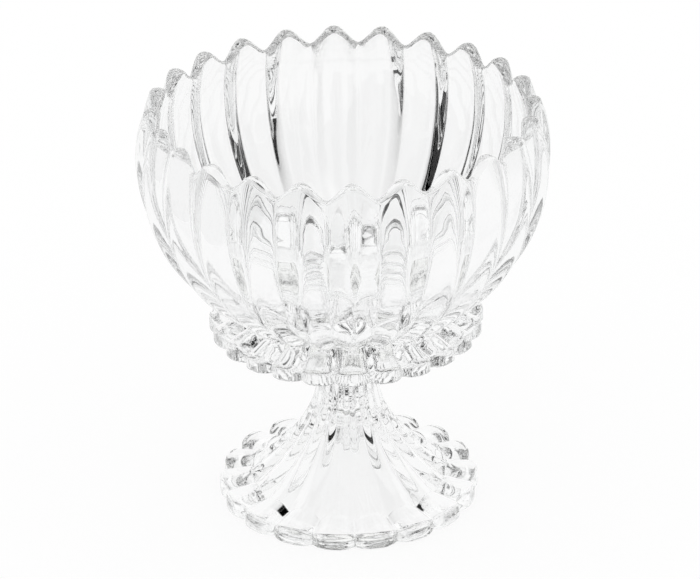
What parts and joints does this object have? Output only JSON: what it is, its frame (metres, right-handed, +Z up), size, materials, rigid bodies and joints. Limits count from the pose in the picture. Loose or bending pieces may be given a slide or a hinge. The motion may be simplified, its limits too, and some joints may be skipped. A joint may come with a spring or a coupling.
{
  "type": "footed glass bowl",
  "caption": "Open footed bowl in clear pressed glass: a lobed bowl with a scalloped rim and a ring of blocks under it, bonded to a fluted flaring pedestal with a hollow foot.",
  "frame": {"origin": "middle of the flat resting ring under the foot", "axes": "+Z up along the axis of the bowl and pedestal, -Y towards the pictured front"},
  "size_m": [0.1834, 0.1834, 0.1932],
  "materials": {
    "bowl_glass": "fire polished",
    "pedestal_glass": "fire polished",
    "clear_adhesive": "clear"
  },
  "bodies": {
    "root": {"bowl": "bowl_glass", "pedestal": "pedestal_glass", "bond_film": "clear_adhesive"}
  },
  "joints": []
}
